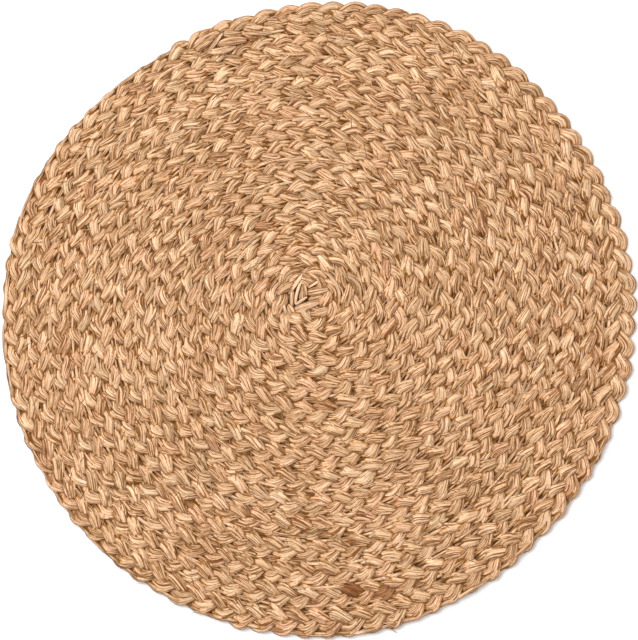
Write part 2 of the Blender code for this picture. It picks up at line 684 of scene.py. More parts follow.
@dataclass(frozen=True)
class GapShadeFinish:
    """Painted shade: a dark brown between the mat's two faces, seen only in the gaps between strands."""

    name: str = "plait_heart_grass"
    browns: Ramp = ((0.3, (0.10, 0.045, 0.016)), (0.7, (0.26, 0.14, 0.06)))
    speckle_scale: float = 900.0
    roughness: float = 0.9
    depth: float = 0.0002

    def material(self) -> bpy.types.Material:
        """Builds the shader and returns the material."""
        graph = SurfaceGraph(self.name)
        speckle = graph.noise(graph.place(), self.speckle_scale, 3.0)
        graph.paint(graph.ramp(speckle, self.browns), {"Roughness": self.roughness})
        graph.emboss(speckle, 0.5, self.depth)
        return graph.material


@dataclass(frozen=True)
class FineFinish:
    """Thread or loose fibre: too fine for a pattern of its own, so its tone runs from line to line."""

    name: str
    dark: Colour
    middle: Colour
    pale: Colour
    speckle_scale: float = 1400.0
    roughness: float = 0.6
    specular: float = 0.12

    def material(self) -> bpy.types.Material:
        """Builds the shader and returns the material."""
        graph = SurfaceGraph(self.name)
        speckle = graph.noise(graph.place(), self.speckle_scale, 2.0)
        tone = graph.math("MULTIPLY_ADD", graph.math("SUBTRACT", speckle, 0.5), 0.5, graph.attribute("tint"))
        colour = graph.ramp(tone, ((0.0, self.dark), (0.45, self.middle), (1.0, self.pale)))
        graph.paint(colour, {"Roughness": self.roughness, "Specular IOR Level": self.specular})
        return graph.material


THREAD_FINISH = FineFinish(
    "sewing_thread_cotton",
    dark=(0.20, 0.09, 0.035),
    middle=(0.38, 0.21, 0.10),
    pale=(0.66, 0.46, 0.28),
)

FIBRE_FINISH = FineFinish(
    "split_grass_fibre",
    dark=(0.16, 0.07, 0.025),
    middle=(0.45, 0.25, 0.12),
    pale=(0.95, 0.74, 0.50),
)


@dataclass(frozen=True)
class FloorFinish:
    """The pale, matt floor under the mat."""

    name: str = "pale_floor_paint"
    whites: Ramp = ((0.0, (0.93, 0.93, 0.93)), (1.0, (0.95, 0.95, 0.95)))
    cloud_scale: float = 3.0
    roughness: float = 0.9

    def material(self) -> bpy.types.Material:
        """Builds the shader and returns the material."""
        graph = SurfaceGraph(self.name)
        clouds = graph.noise(graph.place(), self.cloud_scale, 2.0)
        graph.paint(graph.ramp(clouds, self.whites), {"Roughness": self.roughness, "Specular IOR Level": 0.0})
        return graph.material


@dataclass
class PlaitedStrands:
    """The three strands of the plait, each of three flat blades, laid over one another along the coil."""

    coil: Coil
    first_turn: float = -0.72
    lay: float = 0.039
    steps_per_lay: int = 18
    section_points: int = 10
    blades: int = 3
    swing: float = 0.66
    bend: float = -0.03
    skew: float = 0.16
    warp: float = 0.32
    lift: float = 0.0013
    lag: float = -0.04
    width: float = 0.0107
    pinch: float = 0.22
    blade_width: float = 0.0062
    thickness: float = 0.0028
    roll: float = 0.24
    wander: float = 0.0012
    lowest: float = 0.0001
    rim_press: float = 0.0026
    tail_press: float = 0.0011
    tail_from: float = 0.4
    tail_ease: float = 0.08
    tail_width: float = 0.0105
    tail_lap: float = 0.5
    highest_lap: float = 0.0010
    end_turns: float = 0.012
    end_fullness: float = 0.55
    strands: int = 3

    def tree(self) -> GeometryGraph:
        """Builds the tree that lays one strand's blades along their guide.

        Returns:
            The tree.
        """
        g = GeometryGraph(
            "strand_lay",
            {
                "Strand": 0.0,
                "Swing": self.swing,
                "Bend": self.bend,
                "Skew": self.skew,
                "Warp": self.warp,
                "Lift": self.lift,
                "Lag": self.lag,
                "Width": self.width,
                "Pinch": self.pinch,
                "Blade Width": self.blade_width,
                "Thickness": self.thickness,
                "Roll": self.roll,
                "Wander": self.wander,
                "Section Points": self.section_points,
                "Seed": 7,
            },
        )
        given = g.given
        blade = g.attribute("blade")
        along = g.combine(g.math("MULTIPLY", given["Strand"], 31.7), given["Seed"], g.attribute("lay"))
        own = g.vector_math("ADD", along, g.combine(g.math("MULTIPLY", blade, 6.1), 3.7, 0.0))
        phase = self.phase(g)
        swing = g.math("SINE", g.math("MULTIPLY", phase, 3.0))
        swing = g.math("MULTIPLY_ADD", swing, given["Bend"], g.math("SINE", phase))
        ends = g.math("POWER", g.math("ABSOLUTE", g.math("COSINE", phase)), 4.0)
        size = self.size(g, along, ends)
        side = g.math("ADD", self.sway(g, along, swing), self.fan(g, own, ends, size))
        lift = self.rise(g, along, own, phase)
        lift = g.math("MULTIPLY", lift, g.attribute("fullness"))
        offset = g.vector_math("SCALE", g.attribute("outward", "FLOAT_VECTOR"), side)
        offset = g.vector_math("ADD", offset, g.combine(0.0, 0.0, lift))
        line = g.add("GeometryNodeMeshToCurve", {0: given["Geometry"]}).outputs[0]
        line = g.add("GeometryNodeSetPosition", {0: line, "Offset": offset}).outputs[0]
        tilt = g.math("MULTIPLY", swing, given["Roll"])
        scale = g.combine(given["Blade Width"], given["Thickness"], 1.0)
        broad = g.noise(g.vector_math("ADD", own, (3.0, 0.0, 0.0)), 1.5, 1.0)
        broad = g.math("MULTIPLY_ADD", broad, 0.6, 0.72)
        lens = g.math("SUBTRACT", 1.0, g.math("MULTIPLY", g.math("MULTIPLY", blade, blade), 0.28))
        breadth = g.math("MULTIPLY", g.math("MULTIPLY", size, lens), broad)
        body = self.marked(g, g.swept(line, tilt, scale, breadth), phase)
        place = g.add("GeometryNodeInputPosition").outputs[0]
        above = g.vector_math("MAXIMUM", place, (-1.0, -1.0, self.lowest))
        g.end(g.add("GeometryNodeSetPosition", {0: body, "Position": above}).outputs[0])
        return g

    def phase(self, g: GeometryGraph) -> Socket:
        """Works out where each point is in the strand's weave, as an angle; a lobe is half a turn.

        Args:
            g: The strand's graph.

        Returns:
            The angle's output.
        """
        given = g.given
        lay = g.attribute("lay")
        warp = g.math("SUBTRACT", g.noise(g.combine(given["Seed"], 0.0, lay), 0.45, 1.0), 0.5)
        warped = g.math("MULTIPLY_ADD", warp, given["Warp"], lay)
        phase = g.math("MULTIPLY", g.math("MULTIPLY_ADD", given["Strand"], 1.0 / self.strands, warped), TURN)
        return g.math("SUBTRACT", phase, g.math("MULTIPLY", g.math("SINE", phase), given["Skew"]))

    def size(self, g: GeometryGraph, along: Socket, ends: Socket) -> Socket:
        """Works out how plump the strand is: uneven from lobe to lobe, and pinched where it dives.

        Args:
            g: The strand's graph.
            along: The place that the strand's noise is read at.
            ends: 1 at a lobe's ends, 0 at its middle.

        Returns:
            The share's output.
        """
        plump = g.math("MULTIPLY_ADD", g.noise(along, 2.9, 1.0), 0.62, 0.69)
        narrow = g.math("MINIMUM", g.math("DIVIDE", g.attribute("half_width"), HALF_ROW), 1.08)
        size = g.math("MULTIPLY", g.math("MULTIPLY", plump, g.attribute("fullness")), narrow)
        return g.math("MULTIPLY", size, g.math("SUBTRACT", 1.0, g.math("MULTIPLY", ends, g.given["Pinch"])))

    def sway(self, g: GeometryGraph, along: Socket, swing: Socket) -> Socket:
        """Works out how far the strand lies to the side of the row's middle.

        Args:
            g: The strand's graph.
            along: The place that the strand's noise is read at.
            swing: Its even swing, from -1 to 1.

        Returns:
            The distance's output.
        """
        loose = g.math("MULTIPLY_ADD", g.noise(along, 1.7, 1.0), 0.44, -0.22)
        share = g.math("MULTIPLY_ADD", swing, g.given["Swing"], loose)
        return g.math("MULTIPLY", g.attribute("half_width"), share)

    def fan(self, g: GeometryGraph, own: Socket, ends: Socket, size: Socket) -> Socket:
        """Works out how far each blade lies from the strand's middle.

        Args:
            g: The strand's graph.
            own: The place that the blade's noise is read at.
            ends: 1 at a lobe's ends, 0 at its middle.
            size: How plump the strand is.

        Returns:
            The distance's output.
        """
        spread = g.math("MULTIPLY", g.math("SUBTRACT", g.given["Width"], g.given["Blade Width"]), 0.5)
        tucked = g.math("MULTIPLY_ADD", ends, -0.3, 1.0)
        fan = g.math("MULTIPLY", g.attribute("blade"), spread)
        fan = g.math("MULTIPLY", fan, g.math("MULTIPLY", size, tucked))
        stray = g.math("SUBTRACT", g.noise(own, 1.9, 1.0), 0.5)
        return g.math("MULTIPLY_ADD", stray, g.given["Wander"], fan)

    def rise(self, g: GeometryGraph, along: Socket, own: Socket, phase: Socket) -> Socket:
        """Works out how far each blade lies above the mat's middle height.

        Args:
            g: The strand's graph.
            along: The place that the strand's noise is read at.
            own: The place that the blade's noise is read at.
            phase: The angle in the weave.

        Returns:
            The height's output.
        """
        given = g.given
        late = g.math("MULTIPLY", g.math("SUBTRACT", phase, given["Lag"]), 2.0)
        over = g.math("MULTIPLY", g.math("SINE", late), -1.0)
        uneven = g.math("MULTIPLY_ADD", g.noise(along, 2.3, 1.0, Roughness=0.4), 0.0008, -0.0004)
        lift = g.math("MULTIPLY_ADD", over, given["Lift"], uneven)
        bob = g.math("SUBTRACT", g.noise(g.vector_math("ADD", own, (0.0, 7.0, 0.0)), 2.6, 1.0), 0.5)
        return g.math("MULTIPLY_ADD", g.math("MULTIPLY", bob, given["Wander"]), 0.7, lift)

    def marked(self, g: GeometryGraph, body: Socket, phase: Socket) -> Socket:
        """Stores grain, painted crease shade, lobe, tint and hue, which the grass finish and the stains read.

        Args:
            g: The strand's graph.
            body: The blades' surface.
            phase: The angle in the weave.

        Returns:
            The geometry's output.
        """
        given = g.given
        blade = g.attribute("blade")
        angle = g.math("MULTIPLY", g.attribute("round"), TURN)
        across = g.math("MULTIPLY_ADD", g.math("COSINE", angle), 0.65, g.math("MULTIPLY", blade, 3.3))
        grain = g.combine(
            across,
            g.math("MULTIPLY", g.math("SINE", angle), 0.65),
            g.math("MULTIPLY", g.attribute("lay"), 3.0),
        )
        shift = g.combine(g.math("MULTIPLY", given["Strand"], 13.0), given["Seed"], 0.0)
        body = g.store(body, "grain", g.vector_math("ADD", grain, shift), "FLOAT_VECTOR")
        # Painted shade: marks the blade's rolled side edges, where shade falls between blades.
        brink = g.math("POWER", g.math("ABSOLUTE", g.math("COSINE", angle)), 7.0)
        body = g.store(body, "crease", brink)
        half_turns = g.math("FLOOR", g.math("DIVIDE", phase, math.pi))
        lobe = g.math("MULTIPLY_ADD", given["Strand"], 5000.0, half_turns)
        body = g.store(body, "lobe", lobe)
        single = g.math("MULTIPLY_ADD", blade, 7.0, g.math("MULTIPLY", lobe, 11.0))
        tone = g.math("MULTIPLY", g.random(lobe, given["Seed"]), 0.65)
        body = g.store(body, "tint", g.math("MULTIPLY_ADD", g.random(single, 41), 0.35, tone))
        return g.store(body, "hue", g.random(lobe, 90))

    def route(self) -> dict[str, np.ndarray]:
        """Works out the plait's middle line with what the strands need at each point.

        Returns:
            Named columns: x, y, lay, half_width, fullness, raise, out_x and out_y.
        """
        coil = self.coil
        fine, length = coil.lengths(self.first_turn, coil.rows, 0.0)
        count = int(length[-1] / self.lay * self.steps_per_lay)
        turns = np.interp(np.linspace(0.0, length[-1], count), length, fine)
        x, y = coil.point(turns, 0.0)
        inner, outer = coil.edges(turns)
        out_x, out_y = coil.point(turns, 1.0)
        reach = np.hypot(out_x - x, out_y - y)
        out_x, out_y = (out_x - x) / reach, (out_y - y) / reach
        eased = smooth_step((turns - coil.rows + self.tail_from) / self.tail_ease)
        press = self.rim_press + (self.tail_press - self.rim_press) * eased
        press = press * smooth_step((turns - coil.rows + 1.0) / coil.rim_free)
        outer = outer - press
        lapped = np.maximum(0.0, self.tail_width - (outer - inner)) * (turns > coil.rows - self.tail_lap)
        inner = inner - lapped
        inward = (press + lapped) / 2.0
        x, y = x - inward * out_x, y - inward * out_y
        end = smooth_step((coil.rows - turns) / self.end_turns)
        return {
            "x": x,
            "y": y,
            "lay": np.arange(count) / self.steps_per_lay,
            "half_width": (outer - inner) / 2.0,
            "fullness": self.end_fullness + (1.0 - self.end_fullness) * end,
            "raise": np.minimum(lapped * 0.12, self.highest_lap) * end,
            "out_x": out_x,
            "out_y": out_y,
        }

    def guide(self, route: dict[str, np.ndarray], first: int, last: int) -> bpy.types.Mesh:
        """Makes the middle line of one length of the plait a mesh of edges, once for each blade.

        Args:
            route: The whole route's columns.
            first: Its first point.
            last: The point after its last.

        Returns:
            The mesh, with the strands' attributes.
        """
        part = {name: np.tile(column[first:last], self.blades) for name, column in route.items()}
        count = last - first
        part["blade"] = np.repeat(np.linspace(-1.0, 1.0, self.blades), count)
        points = np.column_stack([part["x"], part["y"], self.coil.middle_height + part["raise"]])
        columns = {name: part[name] for name in ("lay", "half_width", "fullness", "blade")}
        mesh = line_mesh("route", points.reshape(self.blades, count, 3), columns)
        outward = np.column_stack([part["out_x"], part["out_y"], np.zeros(self.blades * count)])
        values = outward.astype(np.float32).ravel()
        mesh.attributes.new("outward", "FLOAT_VECTOR", "POINT").data.foreach_set("vector", values)
        return mesh

    def build(self, finish: bpy.types.Material) -> list[bpy.types.Object]:
        """Lays the three strands, each in two lengths.

        Args:
            finish: The grass material.

        Returns:
            The pieces.
        """
        tree = self.tree()
        route = self.route()
        half = len(route["x"]) // 2
        spans = {Side.INNER: (0, half + 1), Side.OUTER: (half, len(route["x"]))}
        pieces = []
        for strand in range(self.strands):
            for side, (first, last) in spans.items():
                name = f"strand_{strand + 1}_{side.value}"
                pieces.append(tree.run(self.guide(route, first, last), name, finish, Strand=float(strand)))
        return pieces


@dataclass
class PaintedCreviceShade:
    """Painted shade where strands meet, worked out from how much of the sky each point sees."""

    reach: float = 0.004
    clearance: float = 0.00015
    tilt: float = 1.1
    first_direction: float = 0.35
    directions: int = 6

    def tree(self) -> GeometryGraph:
        """Builds the tree that looks out from each point in several directions.

        Returns:
            The tree.
        """
        g = GeometryGraph("crevice_shade", {"Around": None, "Reach": self.reach, "Clearance": self.clearance})
        around = g.add("GeometryNodeObjectInfo", {0: g.given["Around"]}).outputs["Geometry"]
        normal = g.add("GeometryNodeInputNormal").outputs[0]
        place = g.add("GeometryNodeInputPosition").outputs[0]
        start = g.vector_math("ADD", place, g.vector_math("SCALE", normal, g.given["Clearance"]))
        total = 0.0
        for step in range(self.directions + 1):
            aim = normal
            if step:
                angle = TURN * (step + self.first_direction) / self.directions
                leaned = (self.tilt * math.cos(angle), self.tilt * math.sin(angle), 0.0)
                aim = g.vector_math("NORMALIZE", g.vector_math("ADD", normal, leaned))
            ray = g.ray(around, start, aim, g.given["Reach"])
            near = g.math("SUBTRACT", 1.0, g.math("DIVIDE", ray["Hit Distance"], g.given["Reach"]))
            total = g.math("MULTIPLY_ADD", near, ray["Is Hit"], total)
        # Painted shade: the more often and the nearer the rays hit other grass, the darker the point is
        # painted.
        shade = g.math("DIVIDE", total, float(self.directions + 1))
        g.end(g.store(g.given["Geometry"], "crevice", shade))
        return g

    def shade(self, pieces: list[bpy.types.Object], around: bpy.types.Object) -> list[bpy.types.Object]:
        """Makes each piece again with its painted crevice shade attribute.

        Args:
            pieces: The grass pieces; they are replaced.
            around: All of them joined.

        Returns:
            The new pieces, named as the old ones.
        """
        tree = self.tree()
        shaded = []
        for piece in pieces:
            name, mesh = piece.name, piece.data
            finish = mesh.materials[0]
            bpy.data.objects.remove(piece)
            mesh.name = name + "_bare"
            shaded.append(tree.run(mesh, name, finish, Around=around))
        return shaded


@dataclass(frozen=True)
class Stain:
    """A brown lobe of the upper face: a place on it in millimetres, and how dark it is from 0 to 1."""

    x: float
    y: float
    depth: float


STAINS = (
    Stain(18.0, -163.5, 1.0),
    Stain(37.3, -164.6, 0.9),
    Stain(-61.3, -75.1, 0.35),
    Stain(152.7, -37.9, 0.5),
)


def stain(pieces: list[bpy.types.Object], places: tuple[Stain, ...]) -> None:
    """Writes the stain attribute on the lobe that lies uppermost at each place.

    Args:
        pieces: The shaded strands.
        places: The stains.
    """
    spots, lobes, depths = [], [], []
    for piece in pieces:
        mesh = piece.data
        count = len(mesh.vertices)
        spot = np.empty(count * 3)
        mesh.vertices.foreach_get("co", spot)
        lobe = np.empty(count, np.float32)
        mesh.attributes["lobe"].data.foreach_get("value", lobe)
        spots.append(spot.reshape(-1, 3) * MILLIMETRES)
        lobes.append(np.round(lobe))
        depths.append(np.zeros(count, np.float32))
    for place in places:
        best = (-math.inf, 0, 0.0)
        for number, spot in enumerate(spots):
            score = spot[:, 2] - np.hypot(spot[:, 0] - place.x, spot[:, 1] - place.y)
            top = int(np.argmax(score))
            best = max(best, (float(score[top]), number, float(lobes[number][top])))
        _, number, lobe = best
        depths[number][lobes[number] == lobe] = place.depth
    for piece, depth in zip(pieces, depths):
        piece.data.attributes.new("stain", "FLOAT", "POINT").data.foreach_set("value", depth)


def joined(pieces: list[bpy.types.Object]) -> bpy.types.Object:
    """Makes one plain helper mesh of several pieces, for rays to fall on.

    Args:
        pieces: The pieces; they stay as they are.

    Returns:
        The helper, to be removed after use.
    """
    points, faces, count = [], [], 0
    for piece in pieces:
        mesh = piece.data
        places = np.empty(len(mesh.vertices) * 3)
        mesh.vertices.foreach_get("co", places)
        corners = np.empty(len(mesh.loops), dtype=np.int32)
        mesh.loops.foreach_get("vertex_index", corners)
        starts = np.empty(len(mesh.polygons), dtype=np.int32)
        mesh.polygons.foreach_get("loop_start", starts)
        points.append(places.reshape(-1, 3))
        faces += [part + count for part in np.split(corners, starts[1:])]
        count += len(mesh.vertices)
    whole = bpy.data.meshes.new("all_strands")
    whole.from_pydata(np.concatenate(points), [], faces)
    return placed("all_strands", whole)


@dataclass(frozen=True)
class Stem:
    """One loose stem: its bends in millimetres (x, y, height), its breadth there and its tone."""

    bends: tuple[tuple[float, float, float], ...]
    breadth: float
    tint: float = 0.7
    hue: float = 0.5


START_KNOT = (
    Stem(((-15.6, 5.4, 3.4), (-9.0, 7.5, 4.6), (0.6, 11.4, 3.6)), 5.6, 0.72, 0.8),
    Stem(((-9.6, 24.6, 3.6), (-12.6, 18.0, 4.9), (-14.1, 9.6, 4.4)), 2.1, 0.95, 0.4),
    Stem(((-9.9, 23.4, 3.8), (-8.1, 19.2, 4.8), (-7.5, 14.4, 3.9)), 2.0, 0.85, 0.4),
    Stem(((-14.1, 9.3, 4.2), (-10.8, 11.4, 4.9), (-7.2, 13.8, 4.3)), 2.0, 0.9, 0.5),
    Stem(((-7.8, 30.0, 3.4), (-12.6, 23.4, 4.8), (-18.0, 15.6, 3.4)), 2.5, 0.95, 0.5),
    Stem(((-16.2, 18.0, 3.2), (-15.9, 13.2, 4.4), (-16.5, 7.8, 3.2)), 3.4, 0.5, 0.3),
    Stem(((-7.2, 16.2, 3.0), (-1.2, 17.4, 4.2), (6.0, 18.6, 3.2)), 5.6, 0.55, 0.3),
    Stem(((-6.6, 19.2, 4.2), (-3.0, 21.6, 4.8), (0.6, 24.0, 4.0)), 1.8, 0.95, 0.5),
    Stem(((-7.8, 29.4, 3.6), (-3.6, 26.4, 4.6), (1.2, 22.8, 3.6)), 2.6, 0.6, 0.3),
    Stem(((-7.8, 3.0, 3.2), (-1.8, 3.0, 4.4), (4.2, 3.6, 3.2)), 4.4, 0.45, 0.4),
    Stem(((-21.0, 11.4, 3.4), (-20.4, 6.0, 4.6), (-18.0, 0.6, 3.4)), 2.6, 0.98, 0.5),
    Stem(((-18.6, 9.0, 3.2), (-16.2, 4.8, 4.3), (-14.4, 0.0, 3.0)), 4.6, 0.6, 0.5),
    Stem(((-18.6, 22.8, 3.2), (-15.0, 24.6, 4.3), (-11.4, 27.0, 3.2)), 4.6, 0.7, 0.6),
    Stem(((-6.0, 11.0, 2.4), (-2.0, 13.0, 3.0), (3.0, 14.0, 2.4)), 5.0, 0.3, 0.4),
    Stem(((-9.0, 22.0, 2.2), (-10.0, 16.0, 2.6), (-10.0, 11.0, 2.2)), 5.0, 0.1, 0.6),
)

TAIL_END = (
    Stem(((-21.0, 173.6, 4.8), (-34.2, 171.8, 6.1), (-44.4, 171.9, 5.2)), 2.6, 0.98, 0.45),
    Stem(((-57.6, 171.6, 5.4), (-61.8, 166.4, 6.2), (-66.8, 160.2, 5.0)), 2.5, 0.98, 0.5),
    Stem(((-43.6, 167.6, 4.8), (-52.2, 167.0, 6.0), (-61.2, 165.0, 4.6)), 5.2, 0.6, 0.9),
    Stem(((-57.6, 173.2, 4.4), (-66.6, 169.4, 5.8), (-75.0, 163.2, 4.2)), 5.4, 0.75, 0.6),
    Stem(((-63.0, 168.4, 5.0), (-68.4, 164.8, 6.0), (-73.2, 161.6, 4.4)), 4.0, 0.9, 0.5),
    Stem(((-49.8, 164.0, 4.8), (-58.2, 161.4, 5.8), (-67.0, 160.4, 4.4)), 4.4, 0.8, 0.5),
)

RIM_TUFT = (
    Stem(((38.4, -183.6, 2.6), (42.6, -184.2, 3.2), (46.2, -183.4, 3.0)), 0.9, 0.25, 0.6),
    Stem(((38.4, -184.8, 2.2), (43.2, -185.6, 2.6), (46.8, -188.0, 2.0)), 0.7, 0.1, 0.3),
    Stem(((38.0, -181.8, 4.0), (42.0, -181.6, 4.6), (46.0, -181.2, 3.8)), 0.9, 0.2, 0.7),
    Stem(((48.6, -176.0, 4.0), (48.0, -181.0, 4.8), (45.6, -184.6, 3.4)), 1.5, 0.98, 0.4),
    Stem(((39.0, -183.0, 3.4), (43.5, -183.2, 4.0), (46.0, -185.0, 3.2)), 0.7, 0.5, 0.5),
)


def turned_over(stems: tuple[Stem, ...]) -> tuple[Stem, ...]:
    """Moves stems from the upper face to the same places on the underside.

    Args:
        stems: The stems.

    Returns:
        The stems of the underside.
    """
    depth = MAT_DEPTH * MILLIMETRES
    return tuple(replace(stem, bends=tuple((x, y, depth - z) for x, y, z in stem.bends)) for stem in stems)


@dataclass
class LooseStems:
    """Single stems that lie free of the plait: in the start knot, at the tucked end and at the frayed rim."""

    bends_between: int = 5
    section_points: int = 16
    flatness: float = 0.5
    taper: float = 0.55
    fold_depth: float = 0.0004
    pattern_breadth: float = 0.008

    def tree(self) -> GeometryGraph:
        """Builds the tree that gives each guide line its flattened, folded body.

        Returns:
            The tree.
        """
        g = GeometryGraph(
            "loose_stem",
            {
                "Section Points": self.section_points,
                "Flatness": self.flatness,
                "Fold Depth": self.fold_depth,
            },
        )
        given = g.given
        line = g.add("GeometryNodeMeshToCurve", {0: given["Geometry"]}).outputs[0]
        swept = g.swept(line, 0.0, g.combine(1.0, given["Flatness"], 1.0), g.attribute("breadth"))
        angle = g.math("MULTIPLY", g.attribute("round"), TURN)
        wide = g.math("MAXIMUM", g.math("DIVIDE", g.attribute("widest"), self.pattern_breadth), 0.15)
        shift = g.math("MULTIPLY", g.attribute("tint"), 40.0)
        grain = g.combine(
            g.math("MULTIPLY", g.math("COSINE", angle), wide),
            g.math("MULTIPLY_ADD", g.math("SINE", angle), wide, shift),
            g.math("MULTIPLY", g.attribute("along"), 70.0),
        )
        body = g.store(swept, "grain", grain, "FLOAT_VECTOR")
        folds = g.noise(g.vector_math("MULTIPLY", grain, (1.0, 1.0, 0.3)), 3.0, 1.0, Roughness=0.5)
        fold = g.math("ABSOLUTE", g.math("SUBTRACT", folds, 0.5))
        fold = g.math("POWER", g.math("MINIMUM", g.math("MULTIPLY", fold, 7.0), 1.0), 0.6)
        # Painted shade: marks the fold valleys and the stem's side edges.
        brink = g.math("POWER", g.math("ABSOLUTE", g.math("COSINE", angle)), 8.0)
        crease = g.math("MAXIMUM", g.math("POWER", g.math("SUBTRACT", 1.0, fold), 2.0), brink)
        body = g.store(body, "crease", crease)
        normal = g.add("GeometryNodeInputNormal").outputs[0]
        push = g.math("MULTIPLY", g.math("SUBTRACT", fold, 0.75), given["Fold Depth"])
        push = g.vector_math("SCALE", normal, g.math("MULTIPLY", push, wide))
        g.end(g.add("GeometryNodeSetPosition", {0: body, "Offset": push}).outputs[0])
        return g

    def guide(self, stems: tuple[Stem, ...]) -> bpy.types.Mesh:
        """Makes the stems' middle lines one mesh of edges.

        Args:
            stems: The stems.

        Returns:
            The mesh, with the attributes that the tree reads.
        """
        steps = 2 * self.bends_between + 1
        share = np.linspace(0.0, 1.0, steps)
        slim = 1.0 - (1.0 - self.taper) * np.abs(2.0 * share - 1.0) ** 2.5
        lines = []
        columns = {name: [] for name in ("breadth", "widest", "tint", "hue", "along")}
        for stem in stems:
            first, middle, last = (np.array(bend) / MILLIMETRES for bend in stem.bends)
            pull = 2.0 * middle - (first + last) / 2.0
            curve = np.outer((1.0 - share) ** 2, first)
            curve += np.outer(2.0 * share * (1.0 - share), pull) + np.outer(share**2, last)
            lines.append(curve)
            columns["breadth"].append(stem.breadth / MILLIMETRES * slim)
            columns["widest"].append(np.full(steps, stem.breadth / MILLIMETRES))
            columns["tint"].append(np.full(steps, stem.tint))
            columns["hue"].append(np.full(steps, stem.hue))
            columns["along"].append(share * np.linalg.norm(last - first))
        return line_mesh("stem_lines", np.array(lines), columns)

    def build(self, name: str, stems: tuple[Stem, ...], finish: bpy.types.Material) -> bpy.types.Object:
        """Makes one piece of the given stems.

        Args:
            name: The piece's name.
            stems: Its stems.
            finish: The grass material.

        Returns:
            The piece.
        """
        return self.tree().run(self.guide(stems), name, finish)


@dataclass
class EdgeStems:
    """The stems along the plait's edges: pressed between one row and the next, and folded along the rim."""

    coil: Coil
    length: float = 0.028
    spacing: float = 0.017
    breadth: float = 2.7
    apart: float = 0.00125
    rim_inset: float = 0.0023
    rim_end: float = 0.36
    first_turn: float = 0.35
    end_drop: float = 0.0004
    uneven: float = 0.0003
    seed: int = 5

    def run(self, first: float, last: float, across: float, random: np.random.Generator) -> list[Stem]:
        """Lays stems end over end along one line of the coil.

        Args:
            first: The turn where the line starts.
            last: The turn where it ends.
            across: Its place across the row, from -1 to 1.
            random: Where the small differences come from.

        Returns:
            The stems.
        """
        fine, length = self.coil.lengths(first, last, across)
        bow = self.coil.middle_height + np.array([-self.end_drop, 0.0, -self.end_drop])
        count = int((length[-1] - self.length) / self.spacing)
        stems = []
        for number in range(count):
            start = number * self.spacing + random.uniform(-0.003, 0.003)
            places = np.clip(start + self.length * np.array([0.0, 0.5, 1.0]), 0.0, length[-1])
            turns = np.interp(places, length, fine)
            x, y = self.coil.point(turns, across + random.uniform(-0.08, 0.08, 3))
            height = bow + random.uniform(-self.uneven, self.uneven, 3)
            bends = tuple(zip(x * MILLIMETRES, y * MILLIMETRES, height * MILLIMETRES))
            breadth = self.breadth * random.uniform(0.75, 1.25)
            stems.append(Stem(bends, breadth, random.uniform(0.4, 1.0), random.uniform(0.0, 0.7)))
        return stems

    def seams(self) -> tuple[Stem, ...]:
        """Lays the two lines of stems between each row and the next.

        Returns:
            The stems.
        """
        random = np.random.default_rng(self.seed)
        apart = self.apart / HALF_ROW
        lines = [self.run(self.first_turn, self.coil.rows, side - 1.0, random) for side in (-apart, apart)]
        return tuple(stem for line in lines for stem in line)

    def rim(self) -> tuple[Stem, ...]:
        """Lays the stems along the rim, as far as the row keeps its width.

        Returns:
            The stems.
        """
        random = np.random.default_rng(self.seed + 1)
        rows = self.coil.rows
        return tuple(self.run(rows - 1.0, rows - self.rim_end, 1.0 - self.rim_inset / HALF_ROW, random))


@dataclass
class LaidLines:
    """Fine lines laid on the faces of the mat: each point of a guide is dropped on the strands below it."""

    name: str
    sides: int
    blur: int = 2
    sky: float = 0.03

    def tree(self) -> GeometryGraph:
        """Builds the tree that drops the guides on the strands and gives them their round bodies.

        Returns:
            The tree.
        """
        g = GeometryGraph(self.name, {"Around": None, "Sides": self.sides, "Blur": self.blur})
        given = g.given
        around = g.add("GeometryNodeObjectInfo", {0: given["Around"]}).outputs["Geometry"]
        place = g.add("ShaderNodeSeparateXYZ", {0: g.add("GeometryNodeInputPosition").outputs[0]}).outputs
        face = g.attribute("face")
        above = g.combine(place[0], place[1], g.math("MULTIPLY_ADD", face, self.sky, place[2]))
        ray = g.ray(around, above, g.combine(0.0, 0.0, g.math("MULTIPLY", face, -1.0)), 2.0 * self.sky)
        height = g.add("ShaderNodeSeparateXYZ", {0: ray["Hit Position"]}).outputs[2]
        found = g.math("MULTIPLY_ADD", g.math("SUBTRACT", height, place[2]), ray["Is Hit"], place[2])
        fed = {"Value": found, "Iterations": given["Blur"]}
        even = g.add("GeometryNodeBlurAttribute", fed, data_type="FLOAT").outputs[0]
        raised = g.math("MULTIPLY_ADD", face, g.attribute("lift"), even)
        raised = g.math("MAXIMUM", raised, g.math("MULTIPLY", g.attribute("breadth"), 0.5))
        fed = {0: given["Geometry"], "Position": g.combine(place[0], place[1], raised)}
        laid = g.add("GeometryNodeSetPosition", fed)
        line = g.add("GeometryNodeMeshToCurve", {0: laid.outputs[0]}).outputs[0]
        ring = g.add("GeometryNodeCurvePrimitiveCircle", {"Resolution": given["Sides"], "Radius": 0.5})
        sweep = g.add("GeometryNodeCurveToMesh", {0: line, 1: ring.outputs[0], "Fill Caps": True})
        g.feed(sweep.inputs["Scale"], g.attribute("breadth"))
        g.end(sweep.outputs[0])
        return g

    def build(
        self,
        piece: str,
        lines: np.ndarray,
        columns: dict[str, np.ndarray],
        around: bpy.types.Object,
        finish: bpy.types.Material,
    ) -> bpy.types.Object:
        """Lays the lines.

        Args:
            piece: The piece's name.
            lines: Places, one row of points a line.
            columns: Their face, lift, breadth and tint.
            around: The joined strands.
            finish: The lines' material.

        Returns:
            The piece.
        """
        return self.tree().run(line_mesh(self.name, lines, columns), piece, finish, Around=around)


